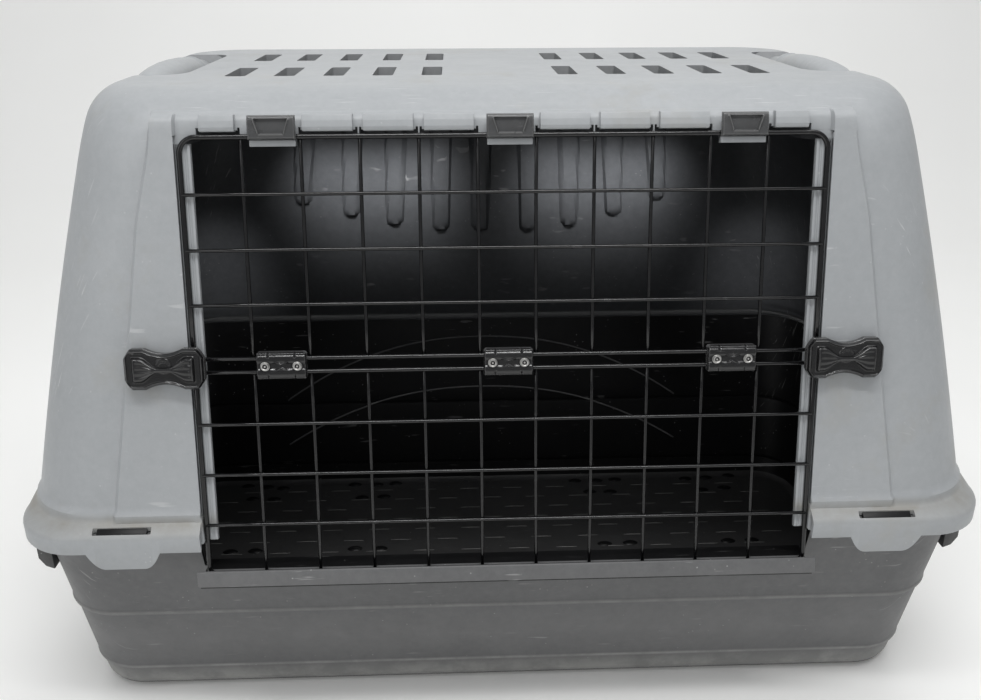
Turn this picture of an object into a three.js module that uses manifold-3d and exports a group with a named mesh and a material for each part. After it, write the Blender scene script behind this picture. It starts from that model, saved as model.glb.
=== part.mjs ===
// A large two-part pet transport carrier: moulded tray, moulded roof and a folding wire door.
// Millimetres. X runs to the right seen from the front, the front faces -Y, Z is up.
// The origin is on the ground under the middle of the carrier.
import * as THREE from "three";
import { mergeVertices } from "three/addons/utils/BufferGeometryUtils.js";
import Module from "manifold-3d";

const wasm = await Module();
wasm.setup();

// ---- driving dimensions ----
const WALL = 4; // wall of both shells
const GAP = 0.3; // clearance between pieces that rest on each other
const RIM = { half: 488, depth: 300, radius: 74, bottom: 238, top: 261 };
const ROOF_TOP = 659;
const LEAN = 0.188; // radians, backward lean of the front wall and the door
const DOOR_MID = { y: -255.4, z: 415.5 }; // centre of the closed door's wire plane
const PITCH_X = 53.3; // between upright wires
const PITCH_Z = 50.8; // between level wires
const FOLD_GAP = 12.9; // between the two level wires at the fold
const PANEL_FACE = -3; // the roof's front panel, seen from the wire plane
const OPENING_HALF = 301;
const SIDE_WIRE = 295; // centre of the frame's side wires
const TOP_WIRE = FOLD_GAP / 2 + 4 * PITCH_Z; // above the door's middle
const MID_WIRE = FOLD_GAP / 2;
const OPENING_TOP = TOP_WIRE + 4.9;
const FRAME_WIRE = 2.5; // wire radii
const MESH_WIRE = 1.5;
const FOLD_WIRE = 2;
const MID_WIRE_Y = -1; // the fold wires lie a little in front of the frame
const CLIP_XS = [-4 * PITCH_X, 0, 4 * PITCH_X];
const TOP_CLIP_SHIFT = 2.5; // the top clips sit a little to the right of the fold clips
const CLIP_NAMES = ["left", "centre", "right"];
const LATCH_X = 320;
const POCKET = { inner: 325, front: -64, back: 118, rampEnd: 160, floor: 592, rampFoot: 628 };
const GRIP = { x: 358, z: 647, radius: 20, pin: 8 };
const VENT = { width: 21, length: 78, rows: [116, -39], first: 70, pitch: 50, perSide: 5 };
const SILL = { z: 201, front: -305, back: -286, half: 307, lipTop: 215.5 };

// ---- materials ----
const plastic = (color, roughness) => new THREE.MeshStandardMaterial({ color, roughness, metalness: 0 });
const greyPlastic = () => plastic(0xa6aaac, 0.55);
const darkPlastic = () => plastic(0x4b4c4e, 0.6);
const blackPlastic = () => plastic(0x161617, 0.4);
const paintedWire = () => new THREE.MeshStandardMaterial({ color: 0x101011, roughness: 0.35, metalness: 0.6 });
const plainSteel = () => new THREE.MeshStandardMaterial({ color: 0xc4c5c6, roughness: 0.3, metalness: 1 });

// ---- solids ----
function solid(geometry) {
  const bare = geometry.clone();
  bare.deleteAttribute("normal");
  bare.deleteAttribute("uv");
  const merged = mergeVertices(bare, 1e-4);
  const vertProperties = new Float32Array(merged.attributes.position.array);
  const triVerts = new Uint32Array(merged.index.array);
  return new wasm.Manifold(new wasm.Mesh({ numProp: 3, vertProperties, triVerts }));
}

function geometryOf(body) {
  const mesh = body.getMesh();
  const geometry = new THREE.BufferGeometry();
  geometry.setAttribute("position", new THREE.BufferAttribute(new Float32Array(mesh.vertProperties), 3));
  geometry.setIndex(new THREE.BufferAttribute(new Uint32Array(mesh.triVerts), 1));
  return geometry;
}

const addAll = (bodies) => bodies.reduce((sum, body) => sum.add(body));
const cutAll = (body, cutters) => cutters.reduce((rest, cutter) => rest.subtract(cutter), body);

function block(x0, x1, y0, y1, z0, z1) {
  const geometry = new THREE.BoxGeometry(x1 - x0, y1 - y0, z1 - z0);
  return solid(geometry.translate((x0 + x1) / 2, (y0 + y1) / 2, (z0 + z1) / 2));
}

// A cylinder whose axis runs along Y, from y0 to y1.
function barY(x, z, radius, y0, y1, sides = 16) {
  const geometry = new THREE.CylinderGeometry(radius, radius, y1 - y0, sides);
  return solid(geometry.translate(x, (y0 + y1) / 2, z));
}

// A flat outline of [a, b] points, extruded. Plane "xz" keeps the outline in X and Z and runs
// back from y = start; plane "yz" keeps it in Y and Z and runs along X from x = start.
function prism(points, plane, start, length) {
  const shape = new THREE.Shape(points.map(([a, b]) => new THREE.Vector2(a, b)));
  const geometry = new THREE.ExtrudeGeometry(shape, { depth: length, bevelEnabled: false, curveSegments: 6 });
  if (plane === "xz") {
    geometry.rotateX(Math.PI / 2).translate(0, start + length, 0);
  } else {
    geometry.applyMatrix4(new THREE.Matrix4().set(0, 0, 1, start, 1, 0, 0, 0, 0, 1, 0, 0, 0, 0, 0, 1));
  }
  return solid(geometry);
}

// Corner points of a rounded rectangle, counter-clockwise seen from above.
function roundedOutline({ half, front, back, radius }, steps = 6) {
  const corners = [
    [half - radius, back - radius, 0],
    [-half + radius, back - radius, 1],
    [-half + radius, front + radius, 2],
    [half - radius, front + radius, 3],
  ];
  return corners.flatMap(([x, y, quarter]) =>
    Array.from({ length: steps + 1 }, (_, i) => {
      const angle = ((quarter + i / steps) * Math.PI) / 2;
      return [x + radius * Math.cos(angle), y + radius * Math.sin(angle)];
    }),
  );
}

// A closed solid through a stack of level rounded rectangles, lowest first.
function stack(levels) {
  const rings = levels.map((level) => roundedOutline(level).map(([x, y]) => [x, y, level.z]));
  const count = rings[0].length;
  const positions = rings.flat();
  const index = [];
  for (let level = 0; level + 1 < rings.length; level += 1) {
    for (let i = 0; i < count; i += 1) {
      const a = level * count + i;
      const b = level * count + ((i + 1) % count);
      index.push(a, b, b + count, a, b + count, a + count);
    }
  }
  const top = (rings.length - 1) * count;
  for (let i = 1; i + 1 < count; i += 1) {
    index.push(0, i + 1, i, top, top + i, top + i + 1);
  }
  const geometry = new THREE.BufferGeometry();
  geometry.setAttribute("position", new THREE.BufferAttribute(new Float32Array(positions.flat()), 3));
  geometry.setIndex(index);
  return solid(geometry);
}

// A straight-sided wire through points [x, z] of one upright plane at depth y, mitred at its bends.
function wire(points, y, radius, sides) {
  const at = points.map(([x, z]) => new THREE.Vector2(x, z));
  const rings = at.map((point, i) => {
    const into = point.clone().sub(at[Math.max(i - 1, 0)]).normalize();
    const out = at[Math.min(i + 1, at.length - 1)].clone().sub(point).normalize();
    const first = i === 0 ? out : into;
    const along = first.clone().add(i === at.length - 1 ? into : out).normalize();
    const across = new THREE.Vector2(-along.y, along.x).multiplyScalar(radius / along.dot(first));
    return Array.from({ length: sides }, (_, k) => {
      const angle = ((k + 0.5) / sides) * 2 * Math.PI;
      const reach = Math.cos(angle);
      return [point.x + across.x * reach, y - radius * Math.sin(angle), point.y + across.y * reach];
    });
  });
  const index = [];
  for (let ring = 0; ring + 1 < rings.length; ring += 1) {
    for (let k = 0; k < sides; k += 1) {
      const a = ring * sides + k;
      const b = ring * sides + ((k + 1) % sides);
      index.push(a, b, b + sides, a, b + sides, a + sides);
    }
  }
  const last = (rings.length - 1) * sides;
  for (let k = 1; k + 1 < sides; k += 1) {
    index.push(0, k + 1, k, last, last + k, last + k + 1);
  }
  const geometry = new THREE.BufferGeometry();
  geometry.setAttribute("position", new THREE.BufferAttribute(new Float32Array(rings.flat(2)), 3));
  geometry.setIndex(index);
  return solid(geometry);
}

// ---- the leaning door plane: x to the right, y backward, z up along the panel ----
const doorPlace = new THREE.Matrix4()
  .makeRotationX(-LEAN)
  .setPosition(0, DOOR_MID.y, DOOR_MID.z);
const leaning = (body) => body.transform(Array.from(doorPlace.elements));

// ---- roof ----
const roofHalf = (z) => 481 - 0.219 * (z - RIM.top) + 4 * Math.sin((Math.PI * (z - RIM.top)) / 380);
const panelY = (z) => DOOR_MID.y + (z - DOOR_MID.z) * Math.tan(LEAN);
const roofFront = (z) => panelY(z) + 0.5;
const roofBack = (z) => 286 - 0.08 * (z - RIM.top);
const ROOF_CORNER = 80;

// Levels of the roof's skin, shrunk on all sides by inset: a leaning wall, then the rounded top edge.
function roofLevels(inset, floorZ) {
  const shoulder = 611;
  const edge = { height: ROOF_TOP - shoulder, side: 31, front: 62, back: 34, corner: 34 };
  const walls = [floorZ, RIM.top, 360, 450, 540, shoulder].map((z) => ({
    z,
    half: roofHalf(Math.max(z, RIM.top)) - inset,
    front: roofFront(Math.max(z, RIM.top)) + inset,
    back: roofBack(Math.max(z, RIM.top)) - inset,
    radius: ROOF_CORNER - inset,
  }));
  const rounding = [22, 44, 66, 90].map((degrees) => {
    const angle = THREE.MathUtils.degToRad(degrees);
    const inward = 1 - Math.cos(angle);
    return {
      z: shoulder + (edge.height - inset) * Math.sin(angle),
      half: roofHalf(shoulder) - inset - edge.side * inward,
      front: roofFront(shoulder) + inset + edge.front * inward,
      back: roofBack(shoulder) - inset - edge.back * inward,
      radius: ROOF_CORNER - inset - edge.corner * inward,
    };
  });
  return [...walls, ...rounding];
}

// The flat panel that frames the door and stands a little proud of the rounded roof.
function frontPanel(inset) {
  const foot = -153;
  const head = 229 - inset;
  const outline = [
    [-383.5 + inset, foot],
    [383.5 - inset, foot],
    [321 - inset, head],
    [-321 + inset, head],
  ];
  return leaning(prism(outline, "xz", PANEL_FACE + inset, 30));
}

// Room for a hand under the grip, let into the roof's upper end on one side. Behind the grip a
// ramp runs up to the roof's top.
function handPocket(side, grow) {
  const outline = [
    [POCKET.front - grow, POCKET.floor - grow],
    [POCKET.back + grow, POCKET.floor - grow],
    [POCKET.back + grow, POCKET.rampFoot - grow],
    [POCKET.rampEnd + grow, ROOF_TOP + 1 - grow],
    [POCKET.rampEnd + grow, ROOF_TOP + 40],
    [POCKET.front - grow, ROOF_TOP + 40],
  ];
  const inner = side * (POCKET.inner - grow);
  const outer = side * (POCKET.inner + 200);
  return prism(outline, "yz", Math.min(inner, outer), Math.abs(outer - inner));
}

function rimLevels(inset, bottom, top) {
  const level = {
    half: RIM.half - inset,
    front: -RIM.depth + inset,
    back: RIM.depth - inset,
    radius: RIM.radius - inset,
  };
  return [{ ...level, z: bottom }, { ...level, z: top }];
}

// The strips inside the door opening that the side wires close against.
function doorStops() {
  return [-1, 1].flatMap((side) => {
    const strip = (near, far, y0, z0) =>
      leaning(block(Math.min(side * near, side * far), Math.max(side * near, side * far), y0, 7, z0, 222));
    return [strip(286, 305, 3, -175), strip(OPENING_HALF, 305, -2, -150)];
  });
}

// A hook under each top clip that the top wire hangs in.
function wireHook(x) {
  const half = 21;
  return leaning(
    addAll([
      block(x - half, x + half, -2.5, 7, TOP_WIRE + 3.3, TOP_WIRE + 7),
      block(x - half, x + half, 3, 7, TOP_WIRE - 8.6, TOP_WIRE + 6),
      block(x - half, x + half, -3, 6, TOP_WIRE - 8.6, TOP_WIRE - 3.1),
    ]),
  );
}

// Raised pads along the top of the opening, each over a shallow slot.
const PADS = [52.5, 107, 161.5, 260].flatMap((x) => [-x, x]).map((x) => {
  const half = Math.abs(x) > 200 ? 15 : 22;
  return { x, half };
});
const padBoss = ({ x, half }) =>
  leaning(
    prism(
      [
        [-2, 217.5],
        [-5.5, 218.5],
        [-5.5, 224],
        [-2, 228],
      ],
      "yz",
      x - half,
      2 * half,
    ),
  );
const padSlot = ({ x, half }) => leaning(block(x - half, x + half, -12, 12, OPENING_TOP - 1, OPENING_TOP + 2.7));

function rimTab(side) {
  const outline = [
    [343, 240],
    [347, 229],
    [355, 223.5],
    [397, 223.5],
    [405, 229],
    [409, 240],
  ].map(([x, z]) => [side * x, z]);
  return prism(side > 0 ? outline : outline.reverse(), "xz", -RIM.depth, WALL);
}

function ventSlots() {
  const slots = [];
  for (const side of [-1, 1]) {
    for (const y of VENT.rows) {
      for (let i = 0; i < VENT.perSide; i += 1) {
        const x = side * (VENT.first + i * VENT.pitch);
        const w = VENT.width / 2;
        const l = VENT.length / 2;
        slots.push(block(x - w, x + w, y - l, y + l, 640, 670));
      }
    }
  }
  return slots;
}

const topClipXs = CLIP_XS.map((x) => x + TOP_CLIP_SHIFT);
const clipSlot = (x) => leaning(block(x - 9.4, x + 9.4, -8, 2.9, TOP_WIRE + 7.5, TOP_WIRE + 11.5));
const tongueSlot = (side) =>
  block(Math.min(side * 347, side * 401), Math.max(side * 347, side * 401), -297.5, -289.6, 250, 265);
const gripHole = (side, y) => barY(side * GRIP.x, GRIP.z - 4, GRIP.pin + 0.4, y - 8, y + 8, 12);

function roofShell() {
  const floorZ = RIM.top - WALL;
  const skin = addAll([stack(roofLevels(0, floorZ)), frontPanel(0), stack(rimLevels(0, RIM.bottom, RIM.top))]);
  const pockets = (grow) => [-1, 1].map((side) => handPocket(side, grow));
  const room = cutAll(stack(roofLevels(WALL, 200)).add(frontPanel(WALL)), pockets(WALL));
  const opening = leaning(block(-OPENING_HALF, OPENING_HALF, -40, 40, -200, OPENING_TOP));
  const holes = [-1, 1].flatMap((side) => [
    leaning(barY(side * LATCH_X, 0, 4.5, -10, 8, 16)),
    tongueSlot(side),
    gripHole(side, POCKET.front),
    gripHole(side, POCKET.back),
  ]);
  const shell = cutAll(skin, [
    stack(rimLevels(WALL, RIM.bottom - 5, floorZ)),
    room,
    ...pockets(0),
    opening,
    ...PADS.map(padSlot),
    ...ventSlots(),
  ]);
  const fitted = addAll([shell, ...doorStops(), ...topClipXs.map(wireHook), ...PADS.map(padBoss), rimTab(-1), rimTab(1)]);
  return cutAll(fitted, [...holes, ...topClipXs.map(clipSlot)]);
}

// ---- base tray ----
const BASE_TOP = RIM.top - WALL - 0.5;
const FLOOR_TOP = 13; // the cabin floor stands on a rib and a border above the ground
const baseHalf = (z) => 470 + 0.045 * z;
const baseDepth = (z) => 219 + 0.25 * z;

function baseLevels(inset, rows) {
  return rows.map(([z, step]) => ({
    z,
    half: baseHalf(z) - step - inset,
    front: -baseDepth(z) + step + inset,
    back: baseDepth(z) - step - inset,
    radius: 62 + 0.12 * z - step - inset,
  }));
}

// The channel along the doorway that the door's bottom wire stands in.
function doorSill() {
  const lip = [
    [-SILL.half + 9, SILL.z],
    [SILL.half - 9, SILL.z],
    [SILL.half, SILL.lipTop],
    [-SILL.half, SILL.lipTop],
  ];
  const width = SILL.half - 8;
  return addAll([
    prism(lip, "xz", SILL.front, 3),
    block(-width, width, SILL.front + 1, -262, SILL.z, SILL.z + 3.5),
    block(-width, width, SILL.back - 3, SILL.back, SILL.z, SILL.z + 7),
  ]);
}

// Webs under the rim at each end of the tray.
const endWeb = (side, end) => {
  const outline = [
    [468, 236.5],
    [487, 236.5],
    [485, 182],
    [468, 172],
  ].map(([x, z]) => [side * x, z]);
  return prism(side > 0 ? outline : outline.reverse(), "xz", end * 202 - 13, 26);
};
const snapTongue = (side) =>
  block(Math.min(side * 350, side * 398), Math.max(side * 350, side * 398), -295.5, -291.5, 254, 259.5);

function baseShell() {
  const outer = stack(
    baseLevels(0, [
      [0, 18],
      [5, 9],
      [14, 5],
      [36, 5],
      [38.5, 2.5],
      [128, 2.5],
      [130.5, 0],
      [BASE_TOP, 0],
    ]),
  );
  const room = stack(
    baseLevels(WALL, [
      [FLOOR_TOP, 12],
      [FLOOR_TOP + 6, 6],
      [44, 3],
      [130, 0.5],
      [BASE_TOP + 4, 0],
    ]),
  );
  const flange = stack(rimLevels(6, BASE_TOP - WALL, BASE_TOP));
  const webs = [-1, 1].flatMap((side) => [endWeb(side, -1), endWeb(side, 1)]);
  const hollows = [-1, 1].map((side) =>
    block(Math.min(side * 20, side * 425), Math.max(side * 20, side * 425), -170, 170, -1, FLOOR_TOP - 5),
  );
  const doorway = block(-SILL.half, SILL.half, -320, -230, SILL.z + 1, 280);
  const tray = cutAll(addAll([outer, flange, ...webs]), [room, doorway, ...hollows]);
  return addAll([tray, doorSill(), snapTongue(-1), snapTongue(1)]);
}

// ---- folding wire door ----
const uprightXs = Array.from({ length: 10 }, (_, i) => (i - 4.5) * PITCH_X);

// One half of the door: side = 1 for the upper panel, -1 for the lower. Its frame has rounded
// outer corners, its first level wire is the fold wire, and the mesh wires cross behind.
function doorPanel(side) {
  const bend = side > 0 ? 16 : 5;
  const corner = (sx) =>
    [0, 30, 60, 90].map((degrees) => {
      const angle = THREE.MathUtils.degToRad(degrees);
      return [sx * (SIDE_WIRE - bend + bend * Math.cos(angle)), TOP_WIRE - bend + bend * Math.sin(angle)];
    });
  const path = [[SIDE_WIRE, MID_WIRE], ...corner(1), ...corner(-1).reverse(), [-SIDE_WIRE, MID_WIRE]];
  const place = (points) => points.map(([x, z]) => [x, side * z]);
  const level = (z, y, radius, sides) => wire(place([[-SIDE_WIRE, z], [SIDE_WIRE, z]]), y, radius, sides);
  const rows = [1, 2, 3].map((i) => level(MID_WIRE + i * PITCH_Z, -1.2, MESH_WIRE, 6));
  const uprights = uprightXs.map((x) => wire(place([[x, MID_WIRE], [x, TOP_WIRE]]), 1.2, MESH_WIRE, 6));
  const fold = level(MID_WIRE, MID_WIRE_Y, FOLD_WIRE, 8);
  return addAll([wire(place(path), 0, FRAME_WIRE, 8), fold, ...rows, ...uprights]);
}

// Screws and washers turn about Y. Rings of the profile are [radius, y].
function turned(profile, sides = 12) {
  const points = profile.map(([r, y]) => new THREE.Vector2(r, y));
  return new THREE.LatheGeometry(points, sides);
}

// ---- fold clips: two halves screwed together around the fold wires ----
const CLIP = { half: 23.5, height: 13, front: -7.5, back: 4.2, screwX: 15 };
const foldGrooves = (x) =>
  [-MID_WIRE, MID_WIRE].map((z) => {
    const rod = new THREE.CylinderGeometry(FOLD_WIRE + 0.35, FOLD_WIRE + 0.35, 60, 12);
    return solid(rod.rotateZ(Math.PI / 2).translate(x, MID_WIRE_Y, z));
  });
const screwHoles = (x) => [-1, 1].map((side) => barY(x + side * CLIP.screwX, 0, 1.9, -12, 12, 12));

function clipHalf(x, y0, y1) {
  const corner = 3;
  const outline = [
    [-CLIP.half + corner, -CLIP.height],
    [CLIP.half - corner, -CLIP.height],
    [CLIP.half, -CLIP.height + corner],
    [CLIP.half, CLIP.height - corner],
    [CLIP.half - corner, CLIP.height],
    [-CLIP.half + corner, CLIP.height],
    [-CLIP.half, CLIP.height - corner],
    [-CLIP.half, -CLIP.height + corner],
  ].map(([dx, z]) => [x + dx, z]);
  return cutAll(prism(outline, "xz", y0, y1 - y0), [...foldGrooves(x), ...screwHoles(x)]);
}

function clipScrew() {
  const head = CLIP.front - GAP;
  return turned([
    [0, CLIP.back - 0.4],
    [1.5, CLIP.back - 0.4],
    [1.5, head],
    [3.7, head],
    [3.4, head - 1.4],
    [2.1, head - 1.4],
    [1.9, head - 0.6],
    [0, head - 0.6],
  ].reverse());
}

// ---- clips over the top wire ----
function topClip(x) {
  const half = 20.5;
  const body = prism(
    [
      [PANEL_FACE - GAP, TOP_WIRE + 18.6],
      [PANEL_FACE - 5, TOP_WIRE + 18.6],
      [PANEL_FACE - 7, TOP_WIRE + 15.5],
      [PANEL_FACE - 7, TOP_WIRE + 1],
      [PANEL_FACE - 5.5, TOP_WIRE - 2.5],
      [PANEL_FACE - GAP, TOP_WIRE - 2.5],
    ],
    "yz",
    x - half,
    2 * half,
  );
  const leg = block(x - 9, x + 9, PANEL_FACE - 1, 2.5, TOP_WIRE + 7.9, TOP_WIRE + 10.9);
  const barb = block(x - 9, x + 9, 1.35, 2.5, TOP_WIRE + 9, TOP_WIRE + 12.8);
  return addAll([body, leg, barb]);
}

// ---- turn latches beside the door, drawn about their own pivot ----
const LATCH = { half: 37, tipHalf: 19.5, waistHalf: 14, under: -5.5, top: -15, grip: -19 };

function latchKnob() {
  const quarter = [
    [LATCH.half, 9],
    [LATCH.half - 6, LATCH.tipHalf],
    [20, LATCH.tipHalf],
    [9, LATCH.waistHalf],
  ];
  const upper = [...quarter, ...quarter.map(([x, z]) => [-x, z]).reverse()];
  const lower = upper.map(([x, z]) => [x, -z]).reverse();
  const plate = prism([...upper, ...lower].reverse(), "xz", LATCH.top, LATCH.under - LATCH.top);
  const bow = [
    [-27, -11],
    [0, -5],
    [27, -11],
    [27, 11],
    [0, 5],
    [-27, 11],
  ];
  const grip = prism(bow, "xz", LATCH.grip, LATCH.top - LATCH.grip + 1);
  const boss = barY(0, 0, 11, LATCH.under - 1, PANEL_FACE - GAP, 20);
  const shaft = barY(0, 0, 4, LATCH.under - 1, 3.2, 16);
  return addAll([plate, grip, boss, shaft]).subtract(barY(0, 0, 1.9, -9, 4, 12));
}

function latchScrew() {
  const seat = 3.2 + GAP;
  return turned([
    [0, -8],
    [1.5, -8],
    [1.5, seat],
    [7, seat],
    [6.2, seat + 2.4],
    [0, seat + 2.4],
  ]);
}

function latchWasher() {
  const inner = PANEL_FACE + WALL + GAP;
  return turned(
    [
      [4.6, inner],
      [11, inner],
      [11, inner + 1.6],
      [4.6, inner + 1.6],
      [4.6, inner],
    ],
    16,
  );
}

// ---- grip bars across the hand pockets ----
function gripBar(side) {
  const x = side * GRIP.x;
  const front = POCKET.front + GAP;
  const back = POCKET.back - GAP;
  return addAll([
    barY(x, GRIP.z, GRIP.radius, front, back, 20),
    barY(x, GRIP.z - 4, GRIP.pin, front - 6, back + 6, 12),
  ]);
}

// ---- assembly ----
const group = new THREE.Group();
const door = new THREE.Group();
door.rotation.x = -LEAN;
door.position.set(0, DOOR_MID.y, DOOR_MID.z);
group.add(door);

function place(parent, name, shape, material) {
  const geometry = shape.isBufferGeometry ? shape : geometryOf(shape);
  const mesh = new THREE.Mesh(geometry, material);
  mesh.name = name;
  parent.add(mesh);
  return mesh;
}

place(group, "base_shell", baseShell(), darkPlastic());
place(group, "roof_shell", roofShell(), greyPlastic());
place(group, "left_grip", gripBar(-1), greyPlastic());
place(group, "right_grip", gripBar(1), greyPlastic());
place(door, "upper_door_grille", doorPanel(1), paintedWire());
place(door, "lower_door_grille", doorPanel(-1), paintedWire());
CLIP_XS.forEach((x, i) => {
  const name = CLIP_NAMES[i];
  place(door, `${name}_top_clip`, topClip(topClipXs[i]), darkPlastic());
  place(door, `${name}_fold_clip_front`, clipHalf(x, CLIP.front, MID_WIRE_Y - GAP / 2), blackPlastic());
  place(door, `${name}_fold_clip_back`, clipHalf(x, MID_WIRE_Y + GAP / 2, CLIP.back), blackPlastic());
  [-1, 1].forEach((side) => {
    const hand = side < 0 ? "a" : "b";
    place(door, `${name}_fold_screw_${hand}`, clipScrew(), plainSteel()).position.x = x + side * CLIP.screwX;
  });
});
[-1, 1].forEach((side) => {
  const name = side < 0 ? "left" : "right";
  place(door, `${name}_latch`, latchKnob(), blackPlastic()).position.x = side * LATCH_X;
  place(door, `${name}_latch_screw`, latchScrew(), plainSteel()).position.x = side * LATCH_X;
  place(door, `${name}_latch_washer`, latchWasher(), plainSteel()).position.x = side * LATCH_X;
});

export default group;
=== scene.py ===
import math
import random

import bmesh
import bpy
import numpy as np
from mathutils import Matrix, Vector


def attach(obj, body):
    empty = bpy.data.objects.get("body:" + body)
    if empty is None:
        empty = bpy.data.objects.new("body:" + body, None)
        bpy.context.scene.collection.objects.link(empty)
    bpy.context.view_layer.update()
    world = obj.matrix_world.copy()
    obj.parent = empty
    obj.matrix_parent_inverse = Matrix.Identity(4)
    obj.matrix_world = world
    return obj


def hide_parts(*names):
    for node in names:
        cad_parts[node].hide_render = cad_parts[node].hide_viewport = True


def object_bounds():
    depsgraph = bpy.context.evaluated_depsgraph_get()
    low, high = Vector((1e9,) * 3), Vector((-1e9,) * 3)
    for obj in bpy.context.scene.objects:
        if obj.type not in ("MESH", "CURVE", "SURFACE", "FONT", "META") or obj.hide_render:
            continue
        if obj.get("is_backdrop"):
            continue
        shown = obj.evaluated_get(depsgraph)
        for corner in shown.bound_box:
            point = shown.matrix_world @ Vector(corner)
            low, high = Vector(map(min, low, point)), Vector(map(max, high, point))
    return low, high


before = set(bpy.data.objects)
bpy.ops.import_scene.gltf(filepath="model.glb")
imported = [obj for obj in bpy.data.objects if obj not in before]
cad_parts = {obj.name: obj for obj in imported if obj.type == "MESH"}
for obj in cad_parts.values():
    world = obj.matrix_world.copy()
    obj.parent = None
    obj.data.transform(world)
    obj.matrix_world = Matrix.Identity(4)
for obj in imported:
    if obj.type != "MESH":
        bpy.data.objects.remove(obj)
size_at_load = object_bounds()

# Lengths below are millimetres unless they say otherwise. The row frame is the CAD's: +X right, the
# front faces -Y, +Z up. The door's own plane has x to the right, d backwards and s up along it.
MM = 0.001
LEAN = 0.188
DOOR_Y = -255.4
DOOR_Z = 415.5
PITCH_X = 53.3
PITCH_S = 50.8
FOLD = 12.9 / 2
TOP = FOLD + 4 * PITCH_S
SIDE = 295.0
OPENING_HALF = 299.2
RIM_TOP = 261.0
ROOF_TOP = 659.0
PANEL = -3.0
WALL = 4.0
CLIP_XS = (-4 * PITCH_X, 0.0, 4 * PITCH_X)
CLIP_SHIFT = 2.5
LATCH_X = 320
rng = random.Random(7)

# Moves a point of the door's plane to the row frame.
DOOR = Matrix(
    (
        (1, 0, 0, 0),
        (0, math.cos(LEAN), math.sin(LEAN), DOOR_Y),
        (0, -math.sin(LEAN), math.cos(LEAN), DOOR_Z),
        (0, 0, 0, 1),
    )
)


# ---------------------------------------------------------------- mesh helpers
def new_object(name, verts, faces, smooth_deg=35, turn=None):
    """A mesh object from millimetre points; turn moves them from the door's plane to the row frame."""
    points = [Vector(v) for v in verts]
    if turn is not None:
        points = [turn @ p for p in points]
    data = bpy.data.meshes.new(name)
    data.from_pydata([p * MM for p in points], [], [tuple(f) for f in faces])
    obj = bpy.data.objects.new(name, data)
    bpy.context.scene.collection.objects.link(obj)
    clean(obj)
    shade(obj, smooth_deg)
    return obj


def clean(obj):
    """Merges doubled points and turns all faces outwards."""
    bm = bmesh.new()
    bm.from_mesh(obj.data)
    bmesh.ops.remove_doubles(bm, verts=bm.verts, dist=1e-6)
    bmesh.ops.recalc_face_normals(bm, faces=bm.faces)
    bm.to_mesh(obj.data)
    bm.free()


def shade(obj, degrees):
    """Smooth shading that keeps edges sharper than this angle."""
    data = obj.data
    bm = bmesh.new()
    bm.from_mesh(data)
    limit = math.radians(degrees)
    for f in bm.faces:
        f.smooth = True
    for e in bm.edges:
        e.smooth = len(e.link_faces) == 2 and e.calc_face_angle(0) < limit
    bm.to_mesh(data)
    bm.free()


def settle(obj):
    """Bakes the object's modifiers into its mesh."""
    graph = bpy.context.evaluated_depsgraph_get()
    graph.update()
    data = bpy.data.meshes.new_from_object(obj.evaluated_get(graph))
    obj.modifiers.clear()
    obj.data = data
    return obj


def bevel(obj, width, segments=2, angle=35, smooth_deg=40):
    """Rounds the edges sharper than the angle."""
    mod = obj.modifiers.new("edge", "BEVEL")
    mod.width = width * MM
    mod.segments = segments
    mod.limit_method = "ANGLE"
    mod.angle_limit = math.radians(angle)
    settle(obj)
    shade(obj, smooth_deg)
    return obj


def combine(obj, other, operation):
    mod = obj.modifiers.new("cut", "BOOLEAN")
    mod.operation = operation
    mod.solver = "MANIFOLD"
    mod.object = other
    settle(obj)
    return obj


def mark(obj, index):
    """Gives every face of the object the material of that slot."""
    while len(obj.data.materials) < 4:
        obj.data.materials.append(None)
    for f in obj.data.polygons:
        f.material_index = index
    return obj


def drop(*objs):
    for o in objs:
        bpy.data.objects.remove(o)


def join(name, objs):
    """One object out of several."""
    bm = bmesh.new()
    for o in objs:
        part = o.data.copy()
        part.transform(o.matrix_world)
        bm.from_mesh(part)
    data = bpy.data.meshes.new(name)
    bm.to_mesh(data)
    bm.free()
    drop(*objs)
    for _ in range(4):
        data.materials.append(None)
    obj = bpy.data.objects.new(name, data)
    bpy.context.scene.collection.objects.link(obj)
    return obj


def prism(name, outline, lo, hi, plane, turn=None, smooth_deg=35):
    """A flat outline pushed from lo to hi. Plane xz pushes along y, yz along x and xy along z."""
    def at(a, b, t):
        return {"xz": (a, t, b), "yz": (t, a, b), "xy": (a, b, t)}[plane]

    n = len(outline)
    verts = [at(a, b, lo) for a, b in outline] + [at(a, b, hi) for a, b in outline]
    faces = [tuple(range(n)), tuple(range(n, 2 * n))]
    faces += [(i, (i + 1) % n, n + (i + 1) % n, n + i) for i in range(n)]
    return new_object(name, verts, faces, smooth_deg, turn)


def rectangle(a0, a1, b0, b1):
    return [(a0, b0), (a1, b0), (a1, b1), (a0, b1)]


def block(name, x0, x1, y0, y1, z0, z1, turn=None):
    return prism(name, rectangle(x0, x1, z0, z1), y0, y1, "xz", turn)


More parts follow.
